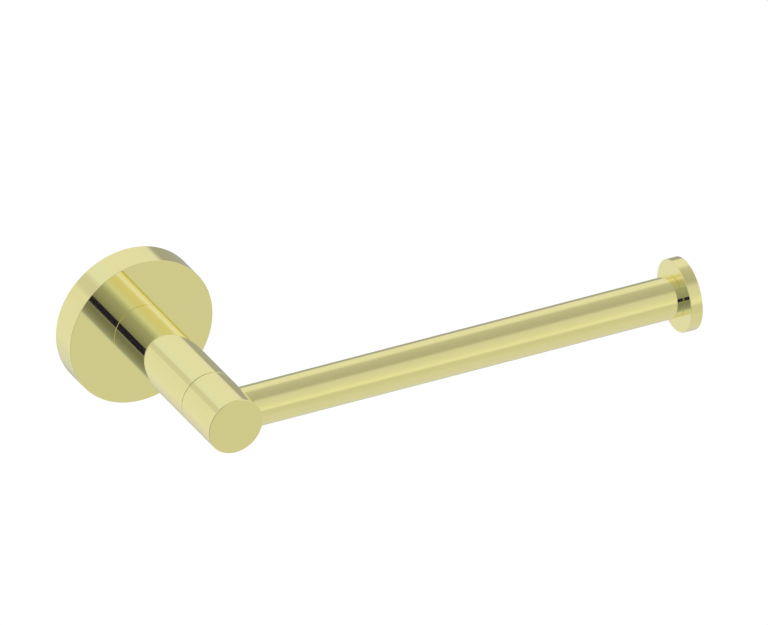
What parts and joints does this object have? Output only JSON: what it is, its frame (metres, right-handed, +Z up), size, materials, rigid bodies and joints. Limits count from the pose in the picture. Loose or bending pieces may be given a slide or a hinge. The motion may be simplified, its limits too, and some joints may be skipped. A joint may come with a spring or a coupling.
{
  "type": "toilet paper holder",
  "caption": "Single-arm toilet paper holder: round wall flange, straight post and a sideways open-ended bar with a retaining disc, in polished pale gold.",
  "frame": {"origin": "centre of the wall bracket's back face, on the wall", "axes": "+X along the bar to its free end, +Y into the wall, +Z up"},
  "size_m": [0.1875, 0.0966, 0.05],
  "materials": {
    "polished_gold": "polished pale gold coating on brass",
    "raw_brass": "machined, uncoated",
    "stainless_steel": "machined stainless steel",
    "white_nylon": "natural nylon",
    "grey_nylon": "moulded grey nylon"
  },
  "bodies": {
    "mount": {"wall_bracket": "raw_brass", "wall_plug_left": "grey_nylon", "wall_plug_right": "grey_nylon", "wall_screw_left": "stainless_steel", "wall_screw_right": "stainless_steel", "flange": "polished_gold", "post": "polished_gold", "post_locating_pin": "stainless_steel", "post_screw": "stainless_steel", "post_screw_washer": "stainless_steel", "post_spring_washer": "stainless_steel", "neck_stud": "stainless_steel"},
    "arm": {"head": "polished_gold", "friction_washer": "white_nylon", "bar": "polished_gold", "bar_stud": "stainless_steel", "bar_insert_inner": "raw_brass", "bar_insert_outer": "raw_brass", "disc_stud": "stainless_steel", "end_disc": "polished_gold"},
    "lock": {"set_screw": "stainless_steel"}
  },
  "joints": [
    {"name": "head_swivel", "type": "hinge", "parent": "mount", "child": "arm", "pos_m": [0, -0.0564, 0], "axis": [0, -1, 0], "range_deg": [-10, 10]},
    {"name": "set_screw_travel", "type": "slide", "parent": "mount", "child": "lock", "axis": [0, 0, -1], "range_m": [0, 0.0015]}
  ]
}
